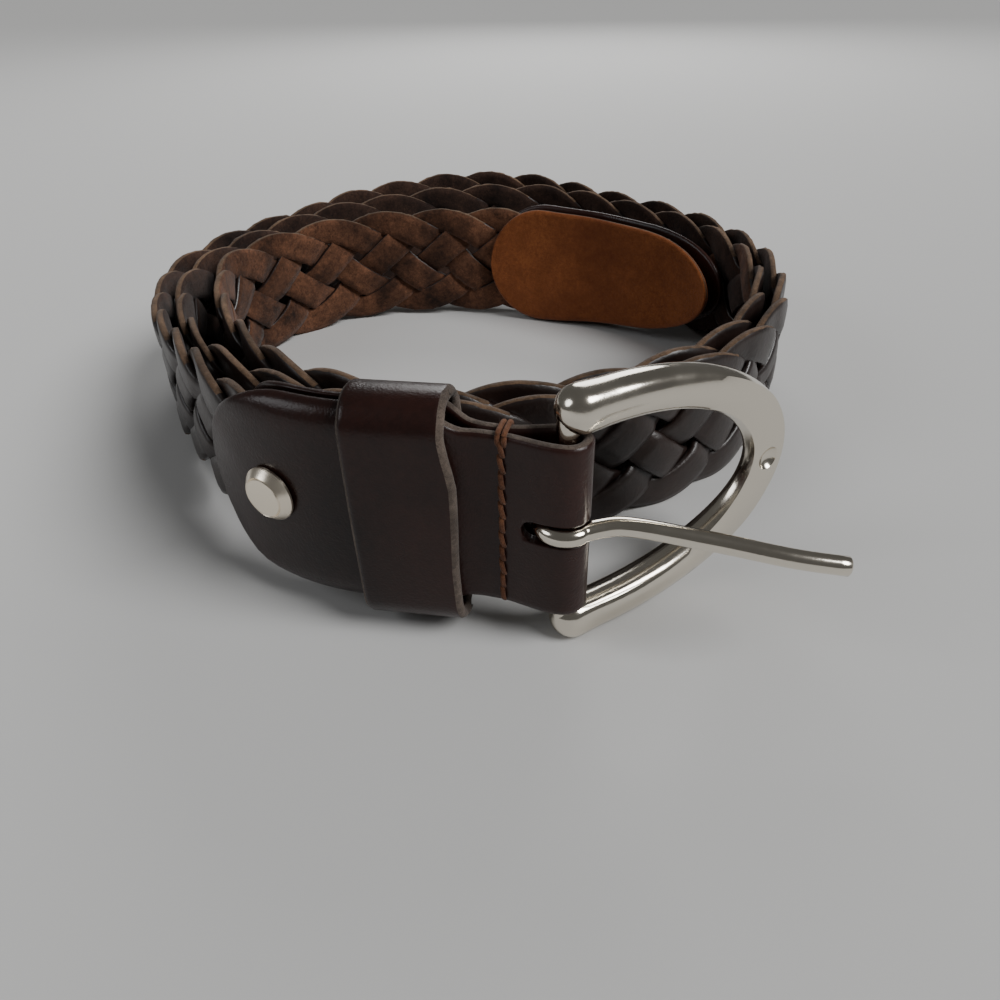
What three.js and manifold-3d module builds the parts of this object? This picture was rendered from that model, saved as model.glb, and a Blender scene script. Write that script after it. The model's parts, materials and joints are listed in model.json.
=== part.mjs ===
// A braided leather belt, coiled in nested turns and standing on its edge.
// Millimetres, +Z up. The buckle end is outermost and faces -Y, the free end is innermost.
import * as THREE from 'three';
import Module from 'manifold-3d';
import { mergeVertices } from 'three/addons/utils/BufferGeometryUtils.js';

// Driving sizes of the coil and the braid
const COIL_RADIUS = 74;          // typical reach of the coil's outer turn
const BRAID_WIDTH = 30;          // height of the band on its edge, over the scallops
const BRAID_THICKNESS = 3.4;     // two crossing thongs
const SCALLOP_PITCH = 16.4;      // length of one scallop along an edge
const SCALLOP_DEPTH = 1.8;
const LIFT_RUN = 84;             // length over which the raised buckle end comes down to the floor

// Driving sizes of the leather pieces
const LEATHER = 1.8;             // wall of the tab
const SEAT_GAP = 0.3;            // between touching pieces
const TAB_LENGTH = 60;           // from the bar's axis to the tab's round end
const TAB_WIDTH = 36;
const TAB_ROLL = 1.5;            // how far the tab's long edges bend in over the braid
const FOLD_LENGTH = 15;          // from the bar's axis to where the narrow part round it ends
const FOLD_FLARE = 4;            // half the length over which it widens there
const BRAID_START = 21;          // from the bar's axis to the braid's end inside the tab
const STITCH_DISTANCE = 10;      // from the bar's axis to the seam behind the fold
const KEEPER_CORNER = 4.4;       // outer corner radius
const KEEPER_LENGTH = 15.8;
const KEEPER_WALL = 1.8;
const KEEPER_DISTANCE = 17;      // from the bar's axis to the loop's near edge
const KEEPER_ROOM = 0.5;         // free space in front of the tab, and above and below it
const TIP_LENGTH = 68;
const TIP_WIDTH = 32.4;
const TIP_LEATHER = 1.4;

// Driving sizes of the metal
const BUCKLE_HEIGHT = 45.4;      // over the two ball ends
const BUCKLE_REACH = 43.8;       // from the bar's axis to the outside of the bow
const BALL_AHEAD = 1.8;          // how far the ball ends sit beyond the bar's axis
const BALL_DIAMETER = 6.6;       // the rounded ends on the bar
const BOW_WIDTH = 7.6;           // the broad flat far side
const BOW_DEPTH = 4;
const ARM_LENGTH = 6.8;          // straight, from the bar's axis to where the bow begins
const ARM_DIAMETER = 6;
const BAR_DIAMETER = 3.4;
const DIMPLE_RADIUS = 2.6;       // the prong's rest on the bow
const DIMPLE_DEPTH = 1.1;
const PRONG_DIAMETER = 3;
const PRONG_LENGTH = 41;
const PRONG_DROP = 0.8;          // the prong and its slot lie this far under the bar's middle
const PRONG_DIP = 1.2;           // how far the bent tip comes down
const RIVET_DIAMETER = 9.4;
const RIVET_DISTANCE = 46;       // from the bar's axis
const RIVET_HEIGHT = 2;
const WASHER_HEIGHT = 0.8;
const POST_DIAMETER = 3;
const SLOT_PAST = 2;             // length of the prong's slot past its hook
const FOLD_ROOM = 0.8;           // between the fold and each ball end

// The pose in the coil, in degrees about the vertical
const BAR_ANGLE = -9;
const BOW_TURN = 30;             // the bow's direction from +X, towards the back
const PRONG_TURN = -11.5;          // the prong's direction from +X

// The route of the belt's middle line, seen from above: angle from the front, clockwise,
// and reach from the coil's centre as a share of COIL_RADIUS.
const ROUTE = [
  { angle: BAR_ANGLE, reach: 1.346 }, { angle: -3, reach: 1.296 }, { angle: 1, reach: 1.266 },
  { angle: 6, reach: 1.254 }, { angle: 14, reach: 1.24 }, { angle: 21, reach: 1.206 },
  { angle: 28, reach: 1.147 }, { angle: 36, reach: 1.078 }, { angle: 46, reach: 1.017 },
  { angle: 62, reach: 0.979 }, { angle: 77, reach: 0.972 }, { angle: 90, reach: 0.98 },
  { angle: 104, reach: 0.95 }, { angle: 117, reach: 0.93 }, { angle: 133, reach: 0.93 },
  { angle: 149, reach: 1.012 }, { angle: 165, reach: 1.085 }, { angle: 175, reach: 1.145 },
  { angle: 187, reach: 1.15 }, { angle: 197, reach: 1.09 }, { angle: 211, reach: 0.99 },
  { angle: 225, reach: 0.957 }, { angle: 245, reach: 0.966 }, { angle: 270, reach: 0.982 },
  { angle: 300, reach: 0.982 }, { angle: 330, reach: 0.975 }, { angle: 350, reach: 0.975 },
  { angle: 370, reach: 0.97 }, { angle: 390, reach: 0.94 }, { angle: 420, reach: 0.912 },
  { angle: 450, reach: 0.912 }, { angle: 472, reach: 0.875 }, { angle: 492, reach: 0.867 },
  { angle: 515, reach: 0.89 }, { angle: 540, reach: 0.925 }, { angle: 560, reach: 0.955 },
  { angle: 571, reach: 0.92 }, { angle: 585, reach: 0.89 }, { angle: 605, reach: 0.905 },
  { angle: 630, reach: 0.92 }, { angle: 660, reach: 0.913 }, { angle: 685, reach: 0.902 },
  { angle: 705, reach: 0.9 }, { angle: 722, reach: 0.9 }, { angle: 742, reach: 0.878 },
  { angle: 760, reach: 0.832 }, { angle: 778, reach: 0.795 }, { angle: 800, reach: 0.8 },
  { angle: 818, reach: 0.825 }, { angle: 835, reach: 0.77 }, { angle: 855, reach: 0.69 },
  { angle: 880, reach: 0.575 }, { angle: 905, reach: 0.53 }, { angle: 936, reach: 0.55 },
  { angle: 950, reach: 0.605 }, { angle: 960, reach: 0.65 }, { angle: 968, reach: 0.7 },
  { angle: 976, reach: 0.765 }, { angle: 986, reach: 0.838 },
];

// Scallops of one pitch: where the section lies in the pitch, and how far each edge stands out
// there, as a share of SCALLOP_DEPTH. The lower edge is half a pitch behind the upper one.
const SCALLOP = [
  { phase: 1 / 12, upper: 1, lower: 0.1 }, { phase: 3 / 12, upper: 0.78, lower: 0.78 },
  { phase: 5 / 12, upper: 0.1, lower: 1 }, { phase: 7 / 12, upper: 0.1, lower: 1 },
  { phase: 9 / 12, upper: 0.78, lower: 0.78 }, { phase: 11 / 12, upper: 1, lower: 0.1 },
];

// The horseshoe from one ball end to the middle of the bow: turn along its half ellipse, and
// the section's width and depth as shares of the way from ARM_DIAMETER to BOW_WIDTH and BOW_DEPTH.
const BOW_SECTIONS = [
  { turn: 90, broad: 0 }, { turn: 78, broad: 0 }, { turn: 66, broad: 0.06 }, { turn: 54, broad: 0.2 },
  { turn: 42, broad: 0.45 }, { turn: 30, broad: 0.75 }, { turn: 18, broad: 0.95 }, { turn: 6, broad: 1 },
];

// The prong's line beyond its hook: how far along, as shares of the way from the hook's radius to
// PRONG_LENGTH, how far to its front side in hook radii, and down as a share of PRONG_DIP.
const PRONG_LINE = [
  { along: 0.05, front: 0.2, down: 0 }, { along: 0.13, front: 0.02, down: 0 },
  { along: 0.48, front: 0.03, down: 0.1 }, { along: 0.8, front: 0.16, down: 0.6 },
  { along: 1, front: 0, down: 1 },
];

// The rivet's cap: radius and height as shares of its own
const CAP_OUTLINE = [{ radius: 1, height: 0.35 }, { radius: 0.7, height: 1 }, { radius: 0, height: 1 }];
const WASHER_OUTLINE = [{ radius: 0, height: 1 }, { radius: 0.5, height: 1 }, { radius: 0.6, height: 0 }];

// Where the sections of a round end lie, as shares of its radius
const END_SHARES = [0.02, 0.1, 0.24, 0.45, 0.72, 1];

// The prong's hook round the bar, seen from above: where it starts and how far it turns
const HOOK_START = 150;
const HOOK_TURN = 180;

// Fineness of the facets
const HOOK_STEPS = 9;
const WALL_STEP = 3.4;
const ROUND_SIDES = 16;
const CAP_SIDES = 28;
const RING_SIDES = 12;
const ROD_SIDES = 10;
const PRONG_STEPS = 34;
const CORNER_STEPS = 4;
const FOLD_STEPS = 8;
const BALL_TURNS = [85, 60, 35, 10, -20];

// The fold fits between the ball ends, and the tab's flat half width covers the braid
const FOLD_WIDTH = BUCKLE_HEIGHT - 2 * (BALL_DIAMETER + FOLD_ROOM);
const FLAT_HALF = BRAID_WIDTH / 2 + 2 * SEAT_GAP;

const wasm = await Module();
wasm.setup();

const rad = THREE.MathUtils.degToRad;
const group = new THREE.Group();

// Smooth reach at any angle of the route, by a cubic through the table's rows
function reachAt(angle) {
  let i = 1;
  while (i < ROUTE.length - 2 && ROUTE[i + 1].angle <= angle) i += 1;
  if (angle < ROUTE[1].angle) i = 0;
  const slope = (k) => {
    const low = ROUTE[Math.max(k - 1, 0)];
    const high = ROUTE[Math.min(k + 1, ROUTE.length - 1)];
    return (high.reach - low.reach) / (high.angle - low.angle);
  };
  const a = ROUTE[i];
  const b = ROUTE[i + 1];
  const span = b.angle - a.angle;
  const t = (angle - a.angle) / span;
  const t2 = t * t;
  const t3 = t2 * t;
  return (2 * t3 - 3 * t2 + 1) * a.reach + (t3 - 2 * t2 + t) * span * slope(i)
    + (3 * t2 - 2 * t3) * b.reach + (t3 - t2) * span * slope(i + 1);
}

// Half the length over which a direction of the middle line is taken
const BEND_STEP = 2;

// The middle line as points a degree apart, with the length run from the bar to each
const line = [];
for (let angle = ROUTE[0].angle; angle <= ROUTE[ROUTE.length - 1].angle; angle += 1) {
  const reach = COIL_RADIUS * reachAt(angle);
  const point = new THREE.Vector2(-reach * Math.sin(rad(angle)), -reach * Math.cos(rad(angle)));
  const run = line.length ? line[line.length - 1].run + point.distanceTo(line[line.length - 1].point) : 0;
  line.push({ point, run });
}
const LINE_LENGTH = line[line.length - 1].run;

function pointAt(run) {
  let i = 0;
  while (i < line.length - 2 && line[i + 1].run < run) i += 1;
  const t = (run - line[i].run) / (line[i + 1].run - line[i].run);
  return line[i].point.clone().lerp(line[i + 1].point, t);
}

// Direction of the run, and the normal that points away from the coil's centre
function frameAt(run) {
  const ahead = pointAt(run + BEND_STEP).sub(pointAt(run - BEND_STEP)).normalize();
  return { ahead, out: new THREE.Vector2(-ahead.y, ahead.x) };
}

// Height of the belt's middle above the floor: up at the buckle, down along LIFT_RUN, and a
// little up again at the tip, which is taller than the braid
function middleHeight(run) {
  const low = BRAID_WIDTH / 2;
  const atBuckle = THREE.MathUtils.smoothstep(run, TAB_LENGTH, TAB_LENGTH + LIFT_RUN);
  const atTip = THREE.MathUtils.smoothstep(run, LINE_LENGTH - 2 * TIP_LENGTH, LINE_LENGTH - TIP_LENGTH);
  return low + (BUCKLE_HEIGHT / 2 - low) * (1 - atBuckle) + (TIP_WIDTH / 2 - low) * atTip;
}

// A closed solid through sections of equal point count, each a ring of points
function loft(sections) {
  const count = sections[0].length;
  const vertices = sections.flat().flatMap((p) => [p.x, p.y, p.z]);
  const faces = [];
  for (let i = 0; i + 1 < sections.length; i += 1) {
    for (let k = 0; k < count; k += 1) {
      const a = i * count + k;
      const b = i * count + ((k + 1) % count);
      faces.push(a, b, b + count, a, b + count, a + count);
    }
  }
  const last = (sections.length - 1) * count;
  for (let k = 0; k + 1 < count / 2; k += 1) {
    const far = count - 1 - k;
    faces.push(k, far, far - 1, k, far - 1, k + 1);
    faces.push(last + k, last + far - 1, last + far, last + k, last + k + 1, last + far - 1);
  }
  const geometry = new THREE.BufferGeometry();
  geometry.setAttribute('position', new THREE.Float32BufferAttribute(vertices, 3));
  geometry.setIndex(faces);
  return facingOut(geometry);
}

// Turns the faces over where their volume comes out negative
function facingOut(geometry) {
  const p = geometry.attributes.position;
  const index = geometry.index.array;
  const at = (i) => new THREE.Vector3().fromBufferAttribute(p, index[i]);
  let volume = 0;
  for (let i = 0; i < index.length; i += 3) volume += at(i).dot(at(i + 1).cross(at(i + 2)));
  if (volume < 0) {
    for (let i = 0; i < index.length; i += 3) [index[i], index[i + 1]] = [index[i + 1], index[i]];
  }
  return geometry;
}

function toSolid(geometry) {
  const plain = geometry.clone();
  plain.deleteAttribute('normal');
  plain.deleteAttribute('uv');
  const merged = mergeVertices(plain, 1e-4);
  return new wasm.Manifold(new wasm.Mesh({
    numProp: 3,
    vertProperties: new Float32Array(merged.attributes.position.array),
    triVerts: new Uint32Array(merged.index.array),
  }));
}

function toGeometry(solid) {
  const mesh = solid.getMesh();
  const geometry = new THREE.BufferGeometry();
  geometry.setAttribute('position', new THREE.Float32BufferAttribute(mesh.vertProperties, 3));
  geometry.setIndex(new THREE.Uint32BufferAttribute(mesh.triVerts, 1));
  return geometry;
}

function addPiece(name, geometry, color, roughness, metalness = 0) {
  const mesh = new THREE.Mesh(geometry, new THREE.MeshStandardMaterial({ color, roughness, metalness }));
  mesh.name = name;
  group.add(mesh);
  return mesh;
}

// One section of a standing wall: rows across the width, bent in towards the wall's inner side
// by roll where it stands past the braid's edges
function wallSection({ at, out, middle, width, thickness, roll, rows }) {
  const place = (row, side) => {
    const past = Math.max(Math.abs(row) * width / 2 - FLAT_HALF, 0) / (TAB_WIDTH / 2 - FLAT_HALF);
    const bend = roll * past * past;
    const off = side * thickness / 2 - bend;
    return new THREE.Vector3(at.x + out.x * off, at.y + out.y * off, middle + row * width / 2);
  };
  return [...rows.map((row) => place(row, 1)), ...[...rows].reverse().map((row) => place(row, -1))];
}

// Share of the full width near a round end: distance from the end against half the width
function roundEnd(distance, radius) {
  const short = 1 - Math.min(distance / radius, 1);
  return Math.sqrt(Math.max(1 - short * short, 0));
}

// Distances from a round end, closer together towards it, then in even steps to the length
function endDistances(length, radius) {
  const near = END_SHARES.map((share) => share * radius);
  const count = Math.ceil((length - radius) / WALL_STEP);
  const far = Array.from({ length: count }, (_, i) => radius + (length - radius) * (i + 1) / count);
  return [...near, ...far];
}

function braidedStrap() {
  const start = BRAID_START;
  const end = LINE_LENGTH - TIP_WIDTH / 4;
  const count = Math.round((end - start) / SCALLOP_PITCH);
  const pitch = (end - start) / count;
  const sections = [];
  for (let i = 0; i < count; i += 1) {
    for (const { phase, upper, lower } of SCALLOP) {
      const run = start + (i + phase) * pitch;
      const at = pointAt(run);
      const { out } = frameAt(run);
      const middle = middleHeight(run);
      const top = middle + BRAID_WIDTH / 2 - SCALLOP_DEPTH * (1 - upper);
      const bottom = middle - BRAID_WIDTH / 2 + SCALLOP_DEPTH * (1 - lower);
      const corner = (side, z) => {
        const off = side * BRAID_THICKNESS / 2;
        return new THREE.Vector3(at.x + out.x * off, at.y + out.y * off, z);
      };
      sections.push([corner(1, bottom), corner(1, top), corner(-1, top), corner(-1, bottom)]);
    }
  }
  return loft(sections);
}

// Distance of each tab layer's middle from the belt's middle line: round the bar, pinched at
// the seam, then apart again over the braid
function layerOffset(run) {
  const atBar = BAR_DIAMETER / 2 + SEAT_GAP + LEATHER / 2;
  const pinched = SEAT_GAP / 2 + LEATHER / 2;
  const overBraid = BRAID_THICKNESS / 2 + SEAT_GAP + LEATHER / 2;
  if (run < STITCH_DISTANCE) {
    return pinched + (atBar - pinched) * (1 - THREE.MathUtils.smoothstep(run, 0, STITCH_DISTANCE));
  }
  return pinched + (overBraid - pinched)
    * THREE.MathUtils.smoothstep(run, STITCH_DISTANCE + LEATHER, BRAID_START - SEAT_GAP);
}

function tabWidth(run) {
  const body = THREE.MathUtils.smoothstep(run, FOLD_LENGTH - FOLD_FLARE, FOLD_LENGTH + FOLD_FLARE);
  const width = FOLD_WIDTH + (TAB_WIDTH - FOLD_WIDTH) * body;
  return width * roundEnd(TAB_LENGTH - run, TAB_WIDTH / 2);
}

const flatRow = FLAT_HALF / (TAB_WIDTH / 2);
const bentRow = (1 + flatRow) / 2;
const tabRows = [-1, -bentRow, -flatRow, 0, flatRow, bentRow, 1];

function leatherTab() {
  const distances = endDistances(TAB_LENGTH, TAB_WIDTH / 2);
  const layer = (side) => distances.map((distance) => {
    const run = Math.max(TAB_LENGTH - distance, 0);
    const { out } = frameAt(Math.max(run, BEND_STEP));
    const at = pointAt(run).addScaledVector(out, side * layerOffset(run));
    return wallSection({
      at,
      out: out.clone().multiplyScalar(side),
      middle: middleHeight(run),
      width: tabWidth(run),
      thickness: LEATHER,
      roll: TAB_ROLL * THREE.MathUtils.smoothstep(run, FOLD_LENGTH, BRAID_START + FOLD_FLARE),
      rows: tabRows,
    });
  });
  const bar = barPoint();
  const { ahead, out } = frameAt(BEND_STEP);
  const bend = Array.from({ length: FOLD_STEPS - 1 }, (_, i) => {
    const turn = Math.PI * (i + 1) / FOLD_STEPS;
    const away = out.clone().multiplyScalar(Math.cos(turn)).addScaledVector(ahead, -Math.sin(turn));
    return wallSection({
      at: bar.clone().addScaledVector(away, layerOffset(0)),
      out: away,
      middle: middleHeight(0),
      width: tabWidth(0),
      thickness: LEATHER,
      roll: 0,
      rows: tabRows,
    });
  });
  const wall = toSolid(loft([...layer(1), ...bend, ...layer(-1).reverse()]));
  return toGeometry(wall.subtract(prongSlot()).subtract(rivetHole()));
}

// The bar stands on the belt's middle line at its start
function barPoint() {
  return pointAt(0);
}

// A box round the bar in the belt's direction, given its reach along, across and up
function standingBox(along, across, up, middle) {
  const { ahead } = frameAt(BEND_STEP);
  const at = barPoint();
  return new THREE.BoxGeometry(along, across, up)
    .rotateZ(Math.atan2(ahead.y, ahead.x))
    .translate(at.x, at.y, middle);
}

// The slot through both layers, centred on the bar and wide enough for the prong's hook
function prongSlot() {
  const reach = BAR_DIAMETER / 2 + PRONG_DIAMETER + LEATHER + SLOT_PAST;
  const up = PRONG_DIAMETER + 3 * SEAT_GAP;
  const across = 4 * LEATHER + 2 * BAR_DIAMETER;
  return toSolid(standingBox(2 * reach, across, up, middleHeight(0) - PRONG_DROP));
}

// A revolved piece along the rivet's axis, which points outwards at RIVET_DISTANCE
function atRivet(geometry) {
  const { out } = frameAt(RIVET_DISTANCE);
  const at = pointAt(RIVET_DISTANCE);
  return geometry.rotateZ(-Math.PI / 2).rotateZ(Math.atan2(out.y, out.x))
    .translate(at.x, at.y, middleHeight(RIVET_DISTANCE));
}

function rivetHole() {
  const radius = POST_DIAMETER / 2 + SEAT_GAP;
  return toSolid(atRivet(new THREE.CylinderGeometry(radius, radius, TAB_WIDTH / 2, ROUND_SIDES)));
}

// The rivet: bevelled cap, hidden post and back washer, revolved as one outline
function rivet() {
  const seat = BRAID_THICKNESS / 2 + SEAT_GAP + LEATHER + SEAT_GAP;
  const cap = RIVET_DIAMETER / 2;
  const post = POST_DIAMETER / 2;
  const outline = [
    ...WASHER_OUTLINE.map(({ radius, height }) => [cap * radius, -seat - WASHER_HEIGHT * height]),
    [post, -seat], [post, seat], [cap, seat],
    ...CAP_OUTLINE.map(({ radius, height }) => [cap * radius, seat + RIVET_HEIGHT * height]),
  ].map(([radius, height]) => new THREE.Vector2(radius, height));
  const geometry = atRivet(new THREE.LatheGeometry(outline, CAP_SIDES));
  return toGeometry(toSolid(geometry));
}

// The keeper: a closed band round the tab
function keeperLoop() {
  const middleRun = KEEPER_DISTANCE + KEEPER_LENGTH / 2;
  const stack = BRAID_THICKNESS + 2 * (SEAT_GAP + LEATHER);
  const insideBack = -stack / 2 - 2 * SEAT_GAP;
  const insideFront = stack / 2 + KEEPER_ROOM;
  const half = TAB_WIDTH / 2 + KEEPER_ROOM;
  const inner = roundedOutline(insideBack, insideFront, half, KEEPER_CORNER - KEEPER_WALL);
  const outer = roundedOutline(insideBack - KEEPER_WALL, insideFront + KEEPER_WALL, half + KEEPER_WALL, KEEPER_CORNER);
  const shape = new THREE.Shape(outer);
  shape.holes.push(new THREE.Path(inner));
  const { out } = frameAt(middleRun);
  const at = pointAt(middleRun);
  const basis = new THREE.Matrix4().makeBasis(
    new THREE.Vector3(out.x, out.y, 0),
    new THREE.Vector3(0, 0, 1),
    new THREE.Vector3(out.x, out.y, 0).cross(new THREE.Vector3(0, 0, 1)),
  );
  const geometry = new THREE.ExtrudeGeometry(shape, { depth: KEEPER_LENGTH, bevelEnabled: false })
    .translate(0, 0, -KEEPER_LENGTH / 2)
    .applyMatrix4(basis)
    .translate(at.x, at.y, middleHeight(middleRun));
  return geometry;
}

// A rectangle with round corners, from low to high across and half up and down
function roundedOutline(low, high, half, radius) {
  const points = [];
  const corners = [
    [high - radius, half - radius, 0], [low + radius, half - radius, 90],
    [low + radius, -half + radius, 180], [high - radius, -half + radius, 270],
  ];
  for (const [x, y, start] of corners) {
    for (let k = 0; k <= CORNER_STEPS; k += 1) {
      const turn = rad(start + 90 * k / CORNER_STEPS);
      points.push(new THREE.Vector2(x + radius * Math.cos(turn), y + radius * Math.sin(turn)));
    }
  }
  return points;
}

// A tongue of leather against one face of the braid's free end, round at both ends
function tipPiece(side) {
  const offset = side * (BRAID_THICKNESS / 2 + SEAT_GAP + TIP_LEATHER / 2);
  const radius = TIP_WIDTH / 2;
  const half = endDistances(TIP_LENGTH / 2, radius);
  const distances = [...half, ...half.slice(0, -1).reverse().map((d) => TIP_LENGTH - d)];
  const start = LINE_LENGTH - TIP_LENGTH;
  const sections = distances.map((distance) => {
    const run = start + distance;
    const { out } = frameAt(Math.min(run, LINE_LENGTH - BEND_STEP));
    const fromEnd = Math.min(distance, TIP_LENGTH - distance);
    return wallSection({
      at: pointAt(run).addScaledVector(out, offset),
      out: out.clone().multiplyScalar(side),
      middle: middleHeight(run),
      width: TIP_WIDTH * roundEnd(fromEnd, radius),
      thickness: TIP_LEATHER,
      roll: 0,
      rows: [-1, 0, 1],
    });
  });
  return loft(sections);
}

// A ring of points round a section, in the plane of two directions
function ring(centre, across, up, halfWidth, halfDepth) {
  return Array.from({ length: RING_SIDES }, (_, k) => {
    const turn = 2 * Math.PI * (k + 0.5) / RING_SIDES;
    return centre.clone().addScaledVector(across, halfWidth * Math.cos(turn))
      .addScaledVector(up, halfDepth * Math.sin(turn));
  });
}

// The horseshoe in its own plane: x from the bar's axis, z up, y its depth
function buckleFrame() {
  const arm = ARM_DIAMETER / 2;
  const middle = BUCKLE_HEIGHT / 2;
  const rise = middle - BALL_DIAMETER / 2;
  const reach = BUCKLE_REACH - BOW_WIDTH / 2 - ARM_LENGTH;
  const depth = new THREE.Vector3(0, 1, 0);
  const upperHalf = BOW_SECTIONS.map(({ turn, broad }) => {
    const t = rad(turn);
    const across = new THREE.Vector3(rise * Math.cos(t), 0, reach * Math.sin(t)).normalize();
    const centre = new THREE.Vector3(ARM_LENGTH + reach * Math.cos(t), 0, rise * Math.sin(t));
    const width = arm + (BOW_WIDTH / 2 - arm) * broad;
    const thick = arm + (BOW_DEPTH / 2 - arm) * broad;
    return ring(centre, across, depth, width, thick);
  });
  const up = new THREE.Vector3(0, 0, 1);
  const ball = BALL_DIAMETER / 2;
  const ballEnd = BALL_TURNS.map((turn) => {
    const size = Math.max(ball * Math.cos(rad(turn)), turn < 0 ? arm : 0);
    return ring(new THREE.Vector3(BALL_AHEAD - ball * Math.sin(rad(turn)), 0, rise), up, depth, size, size);
  });
  const upper = [...ballEnd, ...upperHalf];
  const flip = (point) => new THREE.Vector3(point.x, point.y, -point.z);
  const lower = upper.map((section) => section.map(flip)).reverse();
  const horseshoe = toSolid(loft([...upper, ...lower]));
  const bar = new THREE.CylinderGeometry(BAR_DIAMETER / 2, BAR_DIAMETER / 2, 2 * rise, ROUND_SIDES)
    .rotateX(Math.PI / 2);
  const dimple = new THREE.SphereGeometry(DIMPLE_RADIUS, ROUND_SIDES, ROUND_SIDES / 2)
    .translate(BUCKLE_REACH - BOW_WIDTH / 2, -BOW_DEPTH / 2 - DIMPLE_RADIUS + DIMPLE_DEPTH, -PRONG_DROP);
  return toGeometry(horseshoe.add(toSolid(bar)).subtract(toSolid(dimple)));
}

// The prong in plan: hooked round the bar, then an S-bend onto its long straight rod
function prong() {
  const hook = BAR_DIAMETER / 2 + SEAT_GAP + PRONG_DIAMETER / 2;
  const points = Array.from({ length: HOOK_STEPS + 1 }, (_, k) => {
    const turn = rad(HOOK_START + HOOK_TURN * k / HOOK_STEPS);
    return new THREE.Vector3(hook * Math.cos(turn), hook * Math.sin(turn), 0);
  });
  for (const { along, front, down } of PRONG_LINE) {
    points.push(new THREE.Vector3(hook + (PRONG_LENGTH - hook) * along, -hook * front, -PRONG_DIP * down));
  }
  const curve = new THREE.CatmullRomCurve3(points, false, 'centripetal');
  const circle = new THREE.Shape(Array.from({ length: ROD_SIDES }, (_, k) => {
    const turn = 2 * Math.PI * k / ROD_SIDES;
    return new THREE.Vector2(Math.cos(turn), Math.sin(turn)).multiplyScalar(PRONG_DIAMETER / 2);
  }));
  return new THREE.ExtrudeGeometry(circle, { steps: PRONG_STEPS, extrudePath: curve });
}

// Stands a metal piece on the bar's axis, turned about it and dropped under its middle
function onBar(mesh, turn, drop) {
  const bar = barPoint();
  mesh.position.set(bar.x, bar.y, BUCKLE_HEIGHT / 2 - drop);
  mesh.rotation.z = rad(turn);
}

const drilledStrap = toGeometry(toSolid(braidedStrap()).subtract(rivetHole()));
addPiece('braided_strap', drilledStrap, 0x4a2c20, 0.55);
addPiece('leather_tab', leatherTab(), 0x2c1c1a, 0.38);
addPiece('keeper_loop', keeperLoop(), 0x241a1a, 0.35);
addPiece('rivet', rivet(), 0xc9c2b4, 0.25, 1);
addPiece('tip_inner_piece', tipPiece(-1), 0x8a4f28, 0.85);
addPiece('tip_outer_piece', tipPiece(1), 0x2c1c1a, 0.45);
onBar(addPiece('buckle_frame', buckleFrame(), 0xcfc9bd, 0.2, 1), BOW_TURN, 0);
onBar(addPiece('prong', prong(), 0xcfc9bd, 0.22, 1), PRONG_TURN, PRONG_DROP);

// The origin is on the floor, under the middle of the whole belt
const bounds = new THREE.Box3().setFromObject(group, true);
const middle = bounds.getCenter(new THREE.Vector3());
group.position.set(-middle.x, -middle.y, -bounds.min.z);

export default group;
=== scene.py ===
"""A coiled belt of five braided leather thongs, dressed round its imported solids.

Sizes are in millimetres until a mesh is made. The braid follows the same route as the solid band.
"""

import json
import math

import bpy
import numpy as np
from mathutils import Matrix, Vector


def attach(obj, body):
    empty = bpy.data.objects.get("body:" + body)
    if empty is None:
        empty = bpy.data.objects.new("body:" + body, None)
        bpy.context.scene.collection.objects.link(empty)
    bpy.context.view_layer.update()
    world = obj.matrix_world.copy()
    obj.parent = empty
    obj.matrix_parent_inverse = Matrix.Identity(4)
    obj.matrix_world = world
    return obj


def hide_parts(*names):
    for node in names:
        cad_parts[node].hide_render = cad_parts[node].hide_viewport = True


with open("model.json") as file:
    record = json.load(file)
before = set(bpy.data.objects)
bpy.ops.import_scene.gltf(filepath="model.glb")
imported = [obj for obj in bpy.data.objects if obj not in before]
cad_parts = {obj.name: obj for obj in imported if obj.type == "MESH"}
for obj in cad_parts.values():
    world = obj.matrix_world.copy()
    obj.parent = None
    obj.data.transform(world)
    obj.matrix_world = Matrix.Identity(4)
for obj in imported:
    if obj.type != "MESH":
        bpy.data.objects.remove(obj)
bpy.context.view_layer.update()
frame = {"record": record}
MM = 0.001

# Sizes of the coil and the braid, as in the part's source
COIL_RADIUS = 74
BRAID_WIDTH = 30
BRAID_START = 21
SCALLOP_PITCH = 16.4
LIFT_RUN = 84
TAB_LENGTH = 60
TAB_WIDTH = 36
TIP_LENGTH = 68
TIP_WIDTH = 32.4
BUCKLE_HEIGHT = 45.4
STITCH_DISTANCE = 10

# The route of the belt's middle line: angle from the front, clockwise, and reach from the
# coil's centre as a share of COIL_RADIUS
ROUTE = [
    (-9, 1.346), (-3, 1.296), (1, 1.266), (6, 1.254), (14, 1.24), (21, 1.206), (28, 1.147),
    (36, 1.078), (46, 1.017), (62, 0.979), (77, 0.972), (90, 0.98), (104, 0.95), (117, 0.93),
    (133, 0.93), (149, 1.012), (165, 1.085), (175, 1.145), (187, 1.15), (197, 1.09),
    (211, 0.99), (225, 0.957), (245, 0.966), (270, 0.982), (300, 0.982), (330, 0.975),
    (350, 0.975), (370, 0.97), (390, 0.94), (420, 0.912), (450, 0.912), (472, 0.875),
    (492, 0.867), (515, 0.89), (540, 0.925), (560, 0.955), (571, 0.92), (585, 0.89),
    (605, 0.905), (630, 0.92), (660, 0.913), (685, 0.902), (705, 0.9), (722, 0.9),
    (742, 0.878), (760, 0.832), (778, 0.795), (800, 0.8), (818, 0.825), (835, 0.77),
    (855, 0.69), (880, 0.575), (905, 0.53), (936, 0.55), (950, 0.605), (960, 0.65),
    (968, 0.7), (976, 0.765), (986, 0.838),
]

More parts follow.
